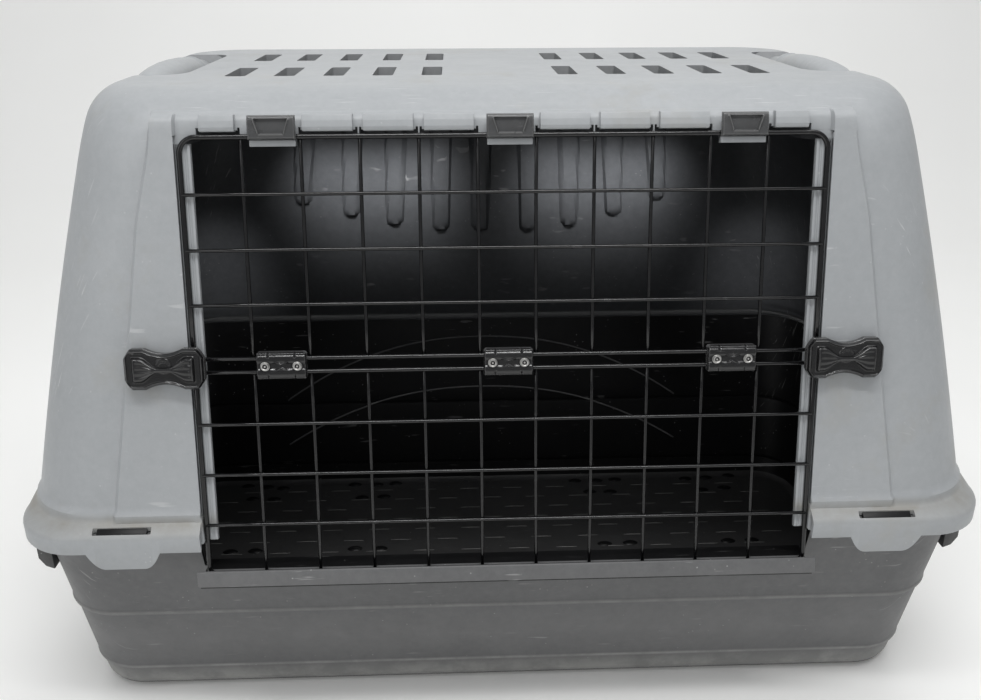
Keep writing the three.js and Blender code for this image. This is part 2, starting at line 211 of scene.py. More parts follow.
def round_outline(points, radius, steps=5):
    """The outline with each corner rounded; radius may be a list, one for each corner."""
    n = len(points)
    out = []
    for i, p in enumerate(points):
        r = radius[i] if isinstance(radius, (list, tuple)) else radius
        p = np.array(p, float)
        a = np.array(points[i - 1], float) - p
        b = np.array(points[(i + 1) % n], float) - p
        la, lb = np.linalg.norm(a), np.linalg.norm(b)
        a, b = a / la, b / lb
        half = math.acos(max(-1, min(1, float(a @ b)))) / 2
        reach = min(r / math.tan(half), 0.49 * la, 0.49 * lb)
        start, end = p + a * reach, p + b * reach
        for k in range(steps + 1):
            t = k / steps
            q = (1 - t) ** 2 * start + 2 * t * (1 - t) * p + t * t * end
            out.append((float(q[0]), float(q[1])))
    return out


def circle(steps):
    """Angles once round, evenly spaced."""
    return [2 * math.pi * k / steps for k in range(steps)]


def dome(points, middle, neighbour, radius):
    """A smaller ring just past the end of a bar, which rounds the end off."""
    out = (middle - neighbour).normalized()
    return [middle + (v - middle) * 0.6 + out * radius * 0.35 for v in points]


def tube(name, path, radius, sides=14, turn=None):
    """A round bar along a path of points, with domed ends; radius may be a list, one for each point."""
    pts = [Vector(p) for p in path]
    radii = radius if isinstance(radius, (list, tuple)) else [radius] * len(pts)
    rings, up = [], None
    for i, p in enumerate(pts):
        along = (pts[min(i + 1, len(pts) - 1)] - pts[max(i - 1, 0)]).normalized()
        if up is None:
            up = along.orthogonal().normalized()
        up = (up - along * up.dot(along)).normalized()
        side = along.cross(up)
        rings.append([p + (up * math.cos(a) + side * math.sin(a)) * radii[i] for a in circle(sides)])
    first = dome(rings[0], pts[0], pts[1], radii[0])
    last = dome(rings[-1], pts[-1], pts[-2], radii[-1])
    rings = [first] + rings + [last]
    verts = [v for points in rings for v in points]
    faces = []
    for i in range(len(rings) - 1):
        for k in range(sides):
            a, b = i * sides + k, i * sides + (k + 1) % sides
            faces.append((a, b, b + sides, a + sides))
    faces.append(tuple(range(sides)))
    faces.append(tuple(range(len(verts) - sides, len(verts))))
    return new_object(name, verts, faces, 60, turn)


def lathe(name, profile, steps=32, turn=None):
    """A profile of (radius, d) turned about the d axis."""
    verts, faces = [], []
    n = len(profile)
    for a in circle(steps):
        verts += [(r * math.cos(a), d, r * math.sin(a)) for r, d in profile]
    for k in range(steps):
        for i in range(n - 1):
            j = (k + 1) % steps
            faces.append((k * n + i, k * n + i + 1, j * n + i + 1, j * n + i))
    return new_object(name, verts, faces, 35, turn)


def smoothstep(a, b, t):
    """0 up to a, 1 from b on, with a soft rise between."""
    t = np.clip((t - a) / (b - a), 0, 1)
    return t * t * (3 - 2 * t)


# ---------------------------------------------------------------- shells built from rings
def arc(cx, cy, r, quarter, steps):
    """The inner points of a quarter circle; quarter 0 starts at +X."""
    angles = [math.pi / 2 * (quarter + i / steps) for i in range(1, steps)]
    return [(cx + r * math.cos(a), cy + r * math.sin(a)) for a in angles]


def mirrored(columns):
    """Columns from the centre to the right, and their mirror images on the left."""
    return [-x for x in reversed(columns[1:])] + columns


def middle(corners):
    return [sum(c[i] for c in corners) / 4 for i in range(3)]


def ring(half, front, back, r, front_xs, side_n=18, back_n=60, corner_n=14):
    """Points round a rounded rectangle, starting at the front's left end; front_xs are its front columns."""
    pts = [(x, front) for x in front_xs]
    pts += arc(half - r, front + r, r, 3, corner_n)
    pts += [(half, y) for y in np.linspace(front + r, back - r, side_n)]
    pts += arc(half - r, back - r, r, 0, corner_n)
    pts += [(x, back) for x in np.linspace(half - r, -half + r, back_n)]
    pts += arc(-half + r, back - r, r, 1, corner_n)
    pts += [(-half, y) for y in np.linspace(back - r, front + r, side_n)]
    pts += arc(-half + r, front + r, r, 2, corner_n)
    return pts


def skin(name, rings, keep=lambda face: True, cap_top=False, cap_bottom=False, smooth_deg=35):
    """A skin through rings of (x, y, z) points; keep says which faces stay."""
    n = len(rings[0])
    verts = [p for r in rings for p in r]
    faces = []
    for i in range(len(rings) - 1):
        for k in range(n):
            j = (k + 1) % n
            f = (i * n + k, i * n + j, (i + 1) * n + j, (i + 1) * n + k)
            if keep([verts[v] for v in f]):
                faces.append(f)
    if cap_top:
        faces.append(tuple(range((len(rings) - 1) * n, len(rings) * n)))
    if cap_bottom:
        faces.append(tuple(reversed(range(n))))
    data = bpy.data.meshes.new(name)
    data.from_pydata([Vector(v) * MM for v in verts], [], faces)
    obj = bpy.data.objects.new(name, data)
    bpy.context.scene.collection.objects.link(obj)
    bm = bmesh.new()
    bm.from_mesh(data)
    loose = [v for v in bm.verts if not v.link_faces]
    bmesh.ops.delete(bm, geom=loose, context="VERTS")
    bm.to_mesh(data)
    bm.free()
    shade(obj, smooth_deg)
    return obj


def thicken(obj, edge_slot=0):
    """Gives a skin its wall, inwards; the inner faces get the next material slot."""
    mark(obj, 0)
    mod = obj.modifiers.new("wall", "SOLIDIFY")
    mod.material_offset = 1
    mod.material_offset_rim = edge_slot
    mod.thickness = WALL * MM
    mod.offset = -1
    mod.use_even_offset = False
    settle(obj)
    return obj


# ---------------------------------------------------------------- roof
RIM_HALF = 488
RIM_DEPTH = 300
RIM_RADIUS = 66
SHOULDER = 611.0
# Middle and half width of each pad over the door.
PADS = [(side * x, 15 if x > 200 else 22) for x in (52.5, 107, 161.5, 260) for side in (-1, 1)]


def on_panel_z(s):
    """Height of the front panel's face at s along the door's plane."""
    return DOOR_Z - PANEL * math.sin(LEAN) + s * math.cos(LEAN)


OPENING_TOP_Z = on_panel_z(TOP + 1.2)
SLOT_TOP_Z = on_panel_z(214.4)
FLARE_TOP_Z = on_panel_z(216.8)
PANEL_TOP_Z = on_panel_z(229)
SLOT_EDGES = [(x - half - 4.6, x + half + 4.6) for x, half in PADS]
DOOR_XS = [0.0, 13.0]
for low, high in sorted(e for e in SLOT_EDGES if e[0] > 0):
    mid = (low + high) / 2
    DOOR_XS += [low, low + 2.2, (low + mid) / 2, mid, (high + mid) / 2, high - 2.2, high]
DOOR_XS += [201.0, 214.0, 228.0, 290.0, OPENING_HALF - 1.6, OPENING_HALF]
DOOR_XS = sorted(DOOR_XS)


def panel_y(z):
    """Face of the flat front panel at height z."""
    return DOOR_Y + (z - DOOR_Z) * math.tan(LEAN) + PANEL / math.cos(LEAN)


def rounding(z, start, power):
    """0 up to the height start, then a quarter round that reaches 1 at the roof's top."""
    rise = float(np.clip((z - start) / (ROOF_TOP - start), 0, 1))
    return 1 - (1 - rise**power) ** 0.5


def panel_front(z):
    """Face of the front panel, rounded back at its top."""
    turn = float(np.clip((z - PANEL_TOP_Z + 9) / 9, 0, 1))
    return panel_y(z) + 9 * (1 - math.sqrt(1 - turn * turn))


def roof_shape(z, grow=0.0):
    """half, front, back and corner radius of the roof at height z."""
    half = 481 - 0.219 * (z - RIM_TOP) + 4 * math.sin(math.pi * (z - RIM_TOP) / 380)
    front = DOOR_Y + (z - DOOR_Z) * math.tan(LEAN) + 0.5
    back = 286 - 0.08 * (z - RIM_TOP)
    shoulder = rounding(z, 588.0, 2.5)
    eaves = rounding(z, 630.0, 2.2)
    half -= 22 * eaves
    front += 52 * shoulder
    back -= 12 * shoulder + 14 * eaves
    r = 80 - 24 * shoulder
    return half + grow, front - grow, back + grow, r + grow


def roof_columns(z, length):
    """Front columns of the roof's wall: even inside the opening, then tight round the panel's crease."""
    crease = float(np.interp(z, (266, 415, 641), (382, 358.5, 323.5)))
    crease = min(crease, length - 3)
    outer = list(np.linspace(OPENING_HALF, crease - 1.7, 17))[1:]
    outer += list(np.linspace(crease + 1.7, length, len(RIM_XS) - 16))
    return mirrored(DOOR_XS + outer), crease


# Columns of the rim beyond the opening, close together at the two sides of a tab.
RIM_XS = [306, 314, 322, 330, 334.5]
RIM_XS += [337 + 1.8 * i for i in range(12)] + [366, 380]
RIM_XS += [390 + 2.5 * i for i in range(12)] + [419.5, 421]

# x and height of the rounded lower tip of each channel in the back wall.
GROOVES = [(-267, 443), (-199, 424), (-137, 410), (-70, 401), (-12, 400)]
GROOVES += [(58, 399), (119, 406), (183, 422), (245, 445)]
GROOVE_DEPTH = 7.0


def groove_depth(x, z):
    """How far the finger-shaped channels push the roof's back wall in at x and z."""
    deep = 0.0
    for gx, tip in GROOVES:
        lean = gx + (z - tip) * (-gx / 267) * 0.10
        half = 10.5 + (z - tip) * 0.02
        u = abs(x - lean)
        rise = z - tip
        if rise < half:
            u = math.hypot(u, half - rise) if rise > -half else 99
        deep = max(deep, 1 - float(smoothstep(half - 3.6, half, u)))
    return GROOVE_DEPTH * deep * (1 - float(smoothstep(570, 600, z)))


def wall_ring(z, grow=0.0):
    """One ring of the roof's wall, with the front panel and the back wall's channels."""
    half, front, back, r = roof_shape(z, grow)
    xs, crease = roof_columns(z, half - r)
    pts = ring(half, front, back, r, xs, back_n=200)
    out = []
    for i, (x, y) in enumerate(pts):
        if i < len(xs) and abs(x) <= crease - 1.6 and z <= PANEL_TOP_Z + 0.1:
            recess = 6.0 if abs(x) < OPENING_HALF - 1 and z > OPENING_TOP_Z - 0.5 else 0.0
            y = min(y, panel_front(z) + recess)
        if y > back - 0.01 and 380 < z < 602:
            y -= groove_depth(x, z)
        out.append((x, y, z))
    return out


def rim_ring(inset, z, tab=0.0):
    """One ring of the roof's rim; tab is how far the two front tabs hang below it."""
    front, back = -RIM_DEPTH + inset, RIM_DEPTH - inset
    pts = ring(RIM_HALF - inset, front, back, RIM_RADIUS - inset, mirrored(DOOR_XS + RIM_XS), back_n=200)
    out = []
    for x, y in pts:
        low = z
        if tab and y < -285:
            a = abs(x)
            swell = np.clip([(a - 339) / 17, (410 - a) / 18], 0, 1)
            low -= tab * float(np.prod(1 - (1 - swell) ** 2.2))
        out.append((x, y, low))
    return out


def roof_rings():
    """Rings from the rim's lower edge to the roof's top, with the fillet at the foot of the wall."""
    out = [rim_ring(0.6, 238.0, 17.5), rim_ring(0, 239.0, 17.2)]
    out += [rim_ring(inset, z) for inset, z in ((0, 252.5), (0.4, 254.6), (1.3, 256.4), (2.9, 257.8))]
    foot = [(3.4, 3.8), (2.3, 4.7), (1.3, 6.2), (0.6, 8.4), (0.15, 11.5)]
    for grow, up in foot:
        out.append([(x, y, RIM_TOP + up) for x, y, z in wall_ring(RIM_TOP + 0.01, grow)])
    zs = list(np.arange(277.0, SHOULDER, 4.6)) + [SHOULDER]
    zs += [SHOULDER + 5, SHOULDER + 10.5, OPENING_TOP_Z, SLOT_TOP_Z, FLARE_TOP_Z]
    zs += [PANEL_TOP_Z - t for t in (6.4, 4.6, 3.1, 2.0, 1.1, 0.5, 0.15, 0.0, -1.3)]
    zs += [645, 648, 651, 653.5, 655.5, 657, 658, 658.7, ROOF_TOP]
    out += [wall_ring(z) for z in zs]
    return out


def in_opening(corners):
    """Whether a face lies in the doorway or in a slot between two pads."""
    x, y, z = middle(corners)
    if abs(x) > OPENING_HALF or y > 0:
        return False
    if z < OPENING_TOP_Z:
        return True
    for low, high in SLOT_EDGES:
        end = min(x - low, high - x)
        if end > 0 and z < (SLOT_TOP_Z if end > 2.2 else FLARE_TOP_Z):
            return True
    return False


def pocket_outline(grow):
    """Plan of a hand recess: square at the roof's end, rounded at its inner corners."""
    inner, front, back = 325 - grow, -64 - grow, 160 + grow
    return round_outline([(inner, front), (520, front), (520, back), (inner, back)], [34, 1, 1, 26], 8)


def pocket(side, grow):
    """The solid that a hand recess takes away, with its ramp at the back; grow adds the liner's wall."""
    plan = prism("pocket", [(side * x, y) for x, y in pocket_outline(grow)], 592 - grow, 700, "xy")
    top = ROOF_TOP + 1 - grow
    outline = [(-80, 580), (119 + grow, 580), (122 + grow, 618 - grow)]
    outline += [(160 + grow, top), (168, 720), (-80, 720)]
    ramp = prism("ramp", outline, side * 300, side * 530, "yz")
    combine(plan, ramp, "INTERSECT")
    drop(ramp)
    return plan


def vent_outline(x, y, w, l):
    return round_outline(rectangle(x - w, x + w, y - l, y + l), 4, 4)


def roof_shell():
    """The roof moulding: walls, hand recesses with liners, vents with collars and the two rim slots."""
    rings = roof_rings()
    shell = skin("roof", rings, keep=lambda f: not in_opening(f), cap_top=True, smooth_deg=30)
    thicken(shell)
    whole = skin("whole", rings[8:], cap_top=True, cap_bottom=True)
    for side in (-1, 1):
        # The liner takes slot 1, the painted-shade inside colour.
        liner = mark(pocket(side, WALL), 1)
        combine(liner, whole, "INTERSECT")
        combine(shell, liner, "UNION")
        # The recess walls take slot 2, the painted-shade recess colour.
        hole = mark(pocket(side, 0), 2)
        combine(shell, hole, "DIFFERENCE")
        drop(liner, hole)
    drop(whole)
    cutters, collars = [], []
    for x in (70, 120, 170, 220, 270):
        for side in (-1, 1):
            for y in (116, -39):
                outer, inner = vent_outline(side * x, y, 13, 42.5), vent_outline(side * x, y, 10.5, 40)
                # The vents' collars and walls take slot 2, the painted-shade recess colour.
                collars.append(mark(prism("collar", outer, 649.5, 657, "xy"), 2))
                cutters.append(mark(prism("vent", inner, 640, 670, "xy"), 2))
    collar = join("collars", collars)
    combine(shell, collar, "UNION")
    drop(collar)
    for side in (-1, 1):
        plan = round_outline(rectangle(side * 346, side * 402, -296.8, -290.7), 1.2, 4)
        cutters.append(prism("slot", plan, 248, 270, "xy"))
    cutter = join("cutters", cutters)
    combine(shell, cutter, "DIFFERENCE")
    drop(cutter)
    shade(shell, 32)
    return shell


def roof_trim():
    """Door stops with their corner gussets, hooks for the top wire and pads over the door."""
    parts = []
    for side in (-1, 1):
        a, b = sorted((side * 285.5, side * 304))
        lip = round_outline(rectangle(a, b, 3, 8), 0.8, 3)
        parts.append(prism("strip", lip, -175, 204, "xy", DOOR))
        for near, far in ((285.5, 288.4), (290.6, 293.2)):
            a, b = sorted((side * near, side * far))
            rib = round_outline(rectangle(a, b, 1.9, 3.5), 0.7, 3)
            parts.append(prism("rib", rib, -174, 203, "xy", DOOR))
        a, b = sorted((side * 299.2, side * 304))
        parts.append(block("return", a, b, -1, 7, -150, 204, DOOR))
        foot = [(side * 297, -176), (side * 304, -178), (side * 304, -150), (side * 298.5, -150)]
        parts.append(prism("foot", round_outline(foot, [3, 1, 1, 1], 4), -4, 6, "xz", DOOR))
    for side in (-1, 1):
        gusset = [(side * (SIDE - 17), TOP + 2.5), (side * 300.5, TOP + 2.5), (side * 300.5, TOP - 15)]
        for a in (math.pi / 2 * i / 8 for i in range(9)):
            gusset.append((side * (SIDE - 15 + 14 * math.cos(a)), TOP - 15 + 14 * math.sin(a)))
        parts.append(prism("gusset", gusset, 3.0, 6.5, "xz", DOOR))
    hook = [(-2.5, TOP + 3.3), (7, TOP + 3.3), (7, TOP - 8.6), (-3.2, TOP - 8.6)]
    hook += [(-3.2, TOP - 3.1), (3, TOP - 3.1), (3, TOP + 2.6), (-2.5, TOP + 2.6)]
    for x in (clip + CLIP_SHIFT for clip in CLIP_XS):
        parts.append(bevel(prism("hook", hook, x - 20.5, x + 20.5, "yz", DOOR), 0.7))
    head = [(5.5, 230), (-1.6, 229), (-3.2, 223.5), (-3.8, 218), (-2.4, 214.3), (5.5, 214.0)]
    head = round_outline(head, [0.5, 1, 2, 2.2, 1.6, 0.5], 4)
    for x, half in PADS:
        pad = prism("pad", head, x - half - 0.5, x + half + 0.5, "yz", DOOR)
        parts.append(bevel(pad, 1.6, 3, 50))
    return join("trim", parts)


# ---------------------------------------------------------------- grips
def grip(side):
    """The arched bar across a hand recess, with a thin collar near its back end."""
    arch = [(-63.7, 638.5, 20.6), (-56, 640.5, 20.8), (-44, 642.6, 21), (-26, 644.3, 21), (0, 645.4, 21)]
    arch += [(30, 645.2, 20.9), (60, 644.0, 20.8), (84, 642.2, 20.7), (96, 641.0, 20.7)]
    arch += [(97.6, 640.9, 21.8), (100.6, 640.6, 21.8), (102.2, 640.4, 20.4)]
    arch += [(108, 639.6, 19.2), (120, 638, 18.8), (146, 636, 18.6)]
    path = [(side * 361, y, z) for y, z, _ in arch]
    return tube(("left" if side < 0 else "right") + "_grip_bar", path, [r for _, _, r in arch], 44)


# ---------------------------------------------------------------- tray
FLOOR_Z = 13.0
BASE_TOP = 256.5
TRAY_DEPTH = 219
TRAY_LEAN = 0.25
DOORWAY_HALF = 307
# Height, and how far the wall steps in there: the rounded foot, then two beads between plain walls.
TRAY_PROFILE = [(0.0, 16.5), (0.6, 14.2), (2.0, 11.6), (4.0, 9.0)]
TRAY_PROFILE += [(7.0, 6.4), (10.5, 4.5), (14, 3.6), (20, 3.4)]
TRAY_PROFILE += [(36.8, 3.3), (37.4, 1.5), (38.2, 0.5), (39.6, 0.2), (41.2, 0.5), (42.8, 1.2)]
TRAY_PROFILE += [(z, 1.4) for z in (44, 60, 80, 100, 122, 128.2)]
TRAY_PROFILE += [(128.9, -0.2), (129.8, -1.2), (131.4, -1.6), (133.2, -1.1), (135.0, -0.2)]
TRAY_PROFILE += [(z, 0) for z in (136, 150, 170, 185, 202, 220, 240, BASE_TOP)]


def tray_ring(z, step):
    """One ring of the tray's wall at height z, stepped in by step."""
    half = 470 + 0.045 * z - step
    depth = TRAY_DEPTH + TRAY_LEAN * z - step
    r = 62 + 0.03 * z - step
    right = list(np.linspace(0, DOORWAY_HALF, 25)) + list(np.linspace(DOORWAY_HALF, half - r, 12))[1:]
    return [(x, y, z) for x, y in ring(half, -depth, depth, r, mirrored(right))]


def in_doorway(corners):
    x, y, z = middle(corners)
    return abs(x) < DOORWAY_HALF and y < 0 and z > 202


def tray_shell():
    """The tray moulding: walls, floor, rim webs, snap tongues, corner flanges and the sill under the door."""
    under = [tray_ring(8.0, 47), tray_ring(0.6, 45.6), tray_ring(0.0, 45)]
    rings = under + [tray_ring(z, step) for z, step in TRAY_PROFILE]
    shell = skin("tray", rings, keep=lambda f: not in_doorway(f), smooth_deg=32)
    # The inside faces and top edges take slot 1, the painted-shade inside colour.
    thicken(shell, 1)
    parts = [shell]
    # The floor plate and its fillet take slot 2, the painted-shade floor colour.
    inside = [(x, y) for x, y, z in tray_ring(FLOOR_Z, 6.5)]
    plate = prism("floor_plate", inside, 8.0, FLOOR_Z, "xy")
    parts.append(mark(plate, 2))
    parts.append(block("rib", -20, 20, -172, 172, 0, 9))
    curve = [(0.2, 13), (0.9, 9.4), (2.6, 5.6), (5.5, 2.4), (9.5, 0.6), (13, -0.2)]
    fillet = [tray_ring(FLOOR_Z + rise, WALL + inset) for rise, inset in curve]
    parts.append(mark(skin("floor_fillet", fillet, smooth_deg=60), 2))
    for side in (-1, 1):
        for end in (-1, 1):
            # The webs take slot 2, painted shade under the rim.
            web = [(side * 477, 236.5), (side * 490, 236.5), (side * 490, 190)]
            web += [(side * 484, 180), (side * 475, 176), (side * 475, 200)]
            parts.append(mark(bevel(prism("web", web, end * 222 - 11, end * 222 + 11, "xz"), 1.2), 2))
        a, b = sorted((side * 350, side * 398))
        # The tongues take slot 1, painted shade in the rim slots.
        wedge = [(-296.4, 248), (-296.4, 257.8), (-291.1, 261.8), (-291.1, 248)]
        parts.append(mark(bevel(prism("tongue", wedge, a, b, "yz"), 0.5), 1))
        ledge = [(side * DOORWAY_HALF, -294), (side * DOORWAY_HALF, -258)]
        ledge += [(side * 455, -258), (side * 455, -285), (side * 420, -294)]
        parts.append(prism("flange", ledge, BASE_TOP - WALL, BASE_TOP, "xy"))
    # The lip takes slot 3, the painted-light lip colour.
    lip = [(-305.4, 200.6), (-302.0, 216.2), (-299.4, 216.2), (-302.4, 200.6)]
    parts.append(mark(bevel(prism("lip", lip, -305.5, 305.5, "yz"), 0.9), 3))
    # The channel takes slot 1, a painted shadow line under the lip; its back takes slot 3, a painted highlight
    # line.
    parts.append(mark(bevel(block("channel", -303, 303, -304.2, -262, 199.0, 204.5), 0.3), 1))
    parts.append(mark(bevel(block("channel_back", -299, 299, -289, -286.4, 202, 209.2), 0.6), 3))
    return join("tray_all", parts)


# x and y of the middle of each bump on the cabin floor, in groups of two and three.
SPOTS = [(-321, 197), (-211, 204), (-177, 203), (-148, 205), (-197, 165), (-164, 167)]
SPOTS += [(132, 202), (165, 201), (195, 203), (151, 169), (182, 167)]
SPOTS += [(306, 201), (339, 203), (376, 208), (324, 167), (360, 172)]
SPOTS += [(-195, 31), (-160, 30), (153, 29), (189, 30), (327, 29), (361, 30)]
SPOTS += [(-376, 206), (-346, 202), (-362, 168), (-330, 166), (-366, 30), (-332, 31)]


def floor_spot(x, y):
    """A low oval bump, built from rings that shrink towards its top."""
    steps, rows = 16, 4
    verts, faces = [], []
    for j in range(rows):
        k = j / (rows - 1)
        rx, ry, h = 11 * (1 - 0.55 * k), 6.5 * (1 - 0.55 * k), 2.4 * math.sin(k * math.pi / 2)
        verts += [(x + rx * math.cos(a), y + ry * math.sin(a), FLOOR_Z - 0.3 + h) for a in circle(steps)]
    for j in range(rows - 1):
        for m in range(steps):
            a, b = j * steps + m, j * steps + (m + 1) % steps
            faces.append((a, b, b + steps, a + steps))
    faces.append(tuple(range((rows - 1) * steps, rows * steps)))
    return new_object("spot", verts, faces, 60)


def floor_spots():
    """Low bumps in groups on the cabin floor."""
    return join("floor_spots", [floor_spot(x, y) for x, y in SPOTS])


def floor_dashes():
    """Short raised lines in staggered rows on the cabin floor."""
    parts = []
    for row, y in enumerate(range(-165, 190, 27)):
        for i in range(-6, 7):
            x = i * 66 + (33 if row % 2 else 0)
            if abs(x) < 400:
                path = [(x - 14, y, FLOOR_Z - 0.3), (x - 5, y, FLOOR_Z)]
                path += [(x + 5, y, FLOOR_Z), (x + 14, y, FLOOR_Z - 0.3)]
                parts.append(tube("dash", path, 0.6, 6))
    return join("floor_dashes", parts)


def wall_arcs():
    """Curved embossed lines on the inside of the tray's back wall."""
    def on_wall(x, z):
        return (x, TRAY_DEPTH + TRAY_LEAN * z - WALL - (2.5 if z < 130 else 0), z)

    parts, centre = [], -11
    for crest, sag in ((231, 1.0), (155, 0.9)):
        pts = []
        for x in np.linspace(centre - 300, centre + 300, 61):
            z = crest - 62 * (abs(x - centre) / 250) ** 2.2 * sag
            if z > 24:
                pts.append(on_wall(float(x), float(z)))
        parts.append(tube("arc", pts, 1.3, 8))
    return join("wall_arcs", parts)


# ---------------------------------------------------------------- door wires
def door_half(name, side):
    """One half of the door: its frame, its fold wire, three rows and ten uprights; side is 1 for the upper."""
    bend = 15 if side > 0 else 6
    angles = [math.pi / 2 * i / 10 for i in range(11)]
    corner = [(SIDE - bend + bend * math.cos(a), 0, TOP - bend + bend * math.sin(a)) for a in angles]
    right = [(SIDE, 0, FOLD), (SIDE, 0, FOLD + 60)] + corner
    left = [(-x, d, s) for x, d, s in right]
    path = right + [(x, 0, TOP) for x in np.linspace(240, -240, 9)] + list(reversed(left))
    fold = [(x, -1, side * FOLD) for x in np.linspace(-SIDE - 1.0, SIDE + 1.0, 9)]
    parts = [tube("frame", [(x, d, side * s) for x, d, s in path], 2.45, 16, DOOR)]
    parts.append(tube("fold", fold, 2.0, 14, DOOR))
    for i in (1, 2, 3):
        s = side * (FOLD + i * PITCH_S)
        wobble = rng.uniform(-0.35, 0.35)
        row = [(x, -1.2, s + wobble * math.sin(x / 150)) for x in np.linspace(-SIDE, SIDE, 13)]
        parts.append(tube("row", row, 1.7, 10, DOOR))
    for i in range(10):
        x = (i - 4.5) * PITCH_X
        wobble = rng.uniform(-0.4, 0.4)
        upright = [(x + wobble * math.sin(s / 60), 1.2, side * s) for s in np.linspace(FOLD, TOP, 9)]
        parts.append(tube("upright", upright, 1.7, 10, DOOR))
    return join(name, parts)


# ---------------------------------------------------------------- moulded small parts
def relief(name, half_width, half_height, front, back, nu, nv, turn):
    """A small moulding with a sculpted front: half_height(x) gives its outline, and front(x, s, v) its
    depth, where v is the share of the way from the middle to the outline."""
    verts, faces = [], []
    for i in range(nu + 1):
        x = (-1 + 2 * i / nu) * half_width
        h = half_height(x)
        for j in range(nv + 1):
            s = (-1 + 2 * j / nv) * h
            verts.append((x, front(x, s, abs(s) / h), s))
    count = len(verts)
    for i in range(nu):
        for j in range(nv):
            a = i * (nv + 1) + j
            faces.append((a, a + 1, a + nv + 2, a + nv + 1))
    edge = [i * (nv + 1) for i in range(nu + 1)] + [nu * (nv + 1) + j for j in range(1, nv + 1)]
    edge += [i * (nv + 1) + nv for i in range(nu - 1, -1, -1)] + [j for j in range(nv - 1, 0, -1)]
    verts += [(verts[e][0], back, verts[e][2]) for e in edge]
    n = len(edge)
    for k in range(n):
        m = (k + 1) % n
        faces.append((edge[k], edge[m], count + m, count + k))
    faces.append(tuple(range(count, count + n)))
    return new_object(name, verts, faces, 38, turn)


def ridge(t, width):
    """1 on the line t = 0, falling to 0 at the width."""
    return max(0.0, 1 - abs(t) / width)


LATCH_HALF = 37
CLIP_HALF = 23.5


def latch_height(x):
    """Half height of a latch's outline: narrow in the middle, with sloped ends."""
    a = abs(x)
    if a < 18:
        return 14.6 + 4.9 * (a / 18) ** 2
    if a < 30:
        return 19.5
    return 19.5 - 9.5 * ((a - 30) / 7) ** 1.35


def latch_front(x, s, v):
    """Depth of a latch's face: a raised rim, ribbed fans on both wings and a recessed screw cap."""
    a = abs(x)
    d = -13.6
    inset = min(latch_height(x) * (1 - v), LATCH_HALF - a)
    d -= 1.4 * float(smoothstep(0.0, 2.2, inset))
    d += 2.4 * (1 - float(smoothstep(0.0, 3.0, inset)))
    d += 1.3 * float(smoothstep(2.6, 4.2, inset))
    width = 2.0 + 9.4 * float(smoothstep(5, 22, a))
    t = s / width
    fan = (1 - float(smoothstep(0.86, 1.12, abs(t)))) * (1 - float(smoothstep(26.5, 29.5, a)))
    lift = 1.6 + 3.2 * (1 - 0.35 * abs(t))
    d -= fan * lift
    if a > 6:
        ribs = 0.75 * (0.5 + 0.5 * math.cos(t * math.pi * 4.2))
        d += fan * ribs * float(smoothstep(6, 14, a)) * (1 - float(smoothstep(23, 27, a)))
    r = math.hypot(x, s - 3.6)
    d -= 0.8 * (1 - float(smoothstep(6.8, 7.8, r))) * (1 - fan)
    for k in range(6):
        q = math.radians(20 + 28 * k)
        dot = math.hypot(x - 5 * math.cos(q), s - 3.6 - 4 * math.sin(q))
        d += 0.55 * (1 - float(smoothstep(0.6, 1.3, dot))) * (1 - fan)
    return max(d, -18.9)


def latch(name, x):
    """A turn latch: its knob, the boss behind it and the shaft through the wall."""
    turn = DOOR @ Matrix.Translation((x, 0, 0))
    knob = relief("knob", LATCH_HALF, latch_height, latch_front, -5.5, 148, 76, turn)
    boss = lathe("boss", [(0, -6.5), (11, -6.5), (11, -4.2), (12, -3.3), (0, -3.3)], 32, turn)
    shaft = lathe("shaft", [(0, -6), (4, -6), (4, 3.2), (0, 3.2)], 24, turn)
    return join(name, [knob, boss, shaft])


def clip_height(x):
    return 13 - 2.2 * max(0.0, (abs(x) - 20.5) / 3) ** 2


def clip_rim(x, s, width):
    """1 at the outline of a fold clip, 0 from width inside it on."""
    return 1 - float(smoothstep(0, width, min(CLIP_HALF - abs(x), 13 - abs(s))))


def clip_front(x, s, v):
    """Depth of a fold clip's front: two rolls over the wires, a crossed ridge and two screw seats."""
    d = -6.1
    for roll in (-FOLD, FOLD):
        gap = abs(s - roll)
        if gap < 5.6:
            d = min(d, -2.1 - math.sqrt(5.6**2 - gap**2))
    cross = abs(abs(s) - (1.9 + 5.4 * abs(x) / 13))
    if abs(x) < 13.5:
        d -= 2.5 * ridge(cross, 0.9)
    if abs(s) > 7.5:
        d += 0.9 * (ridge(x + 12.5, 1.2) + ridge(x - 12.5, 1.2))
    if math.hypot(abs(x) - 15, s) < 5.2:
        d = min(d, -6.9)
    d += 2.2 * clip_rim(x, s, 1.6) ** 1.5
    return max(-7.45, d)


def clip_back(x, s, v):
    return 4.2 - 2.0 * clip_rim(x, s, 2.0)


def fold_clip(x, name):
    """The front and back halves of a fold clip."""
    turn = DOOR @ Matrix.Translation((x, 0, 0))
    front = relief(name + "_front", CLIP_HALF, clip_height, clip_front, -1.2, 94, 52, turn)
    back = relief(name + "_back", CLIP_HALF, clip_height, clip_back, -0.8, 40, 24, turn)
    return front, back


def fold_screw(name, x):
    """A socket head with a washer edge."""
    turn = DOOR @ Matrix.Translation((x, 0, 0))
    profile = [(0, -6.2), (2.3, -6.2), (2.3, -9.0), (2.6, -9.3), (3.5, -9.2)]
    profile += [(3.9, -8.7), (4.0, -7.4), (4.3, -7.3), (4.4, -6.9), (0, -6.0)]
    head = lathe("head", profile, 28, turn)
    tip = lathe("tip", [(0, -8.3), (0.9, -8.1), (1.0, 3.8), (0, 3.8)], 16, turn)
    return join(name, [head, tip])


